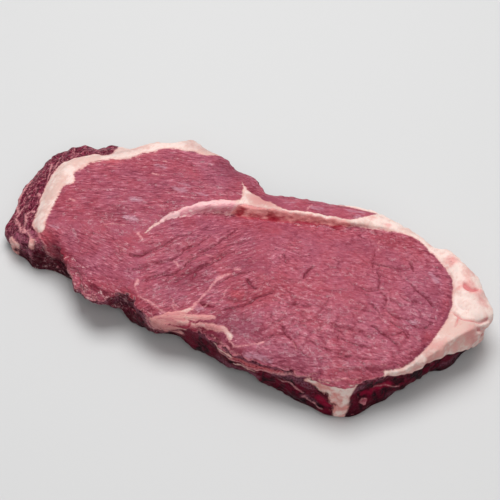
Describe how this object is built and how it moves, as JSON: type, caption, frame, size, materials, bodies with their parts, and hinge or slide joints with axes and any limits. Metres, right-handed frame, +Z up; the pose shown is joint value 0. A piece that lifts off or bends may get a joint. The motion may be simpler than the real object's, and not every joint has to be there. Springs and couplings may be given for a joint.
{
  "type": "ribeye steak",
  "caption": "Raw boneless ribeye steak lying on its cut face: one closed solid with an uneven rim, a stepped fat seam, a flared left skirt and a swollen fat tail.",
  "frame": {"origin": "middle of the bounding box's foot, on the surface that the steak lies on", "axes": "+X along the length towards the fat tail, +Y across the width towards the fat cap, +Z up through the thickness"},
  "size_m": [0.232, 0.1276, 0.0256],
  "materials": {
    "raw_beef": "moist raw lean with cream fat, satin with small wet highlights"
  },
  "bodies": {
    "root": {"steak": "raw_beef"}
  },
  "joints": []
}
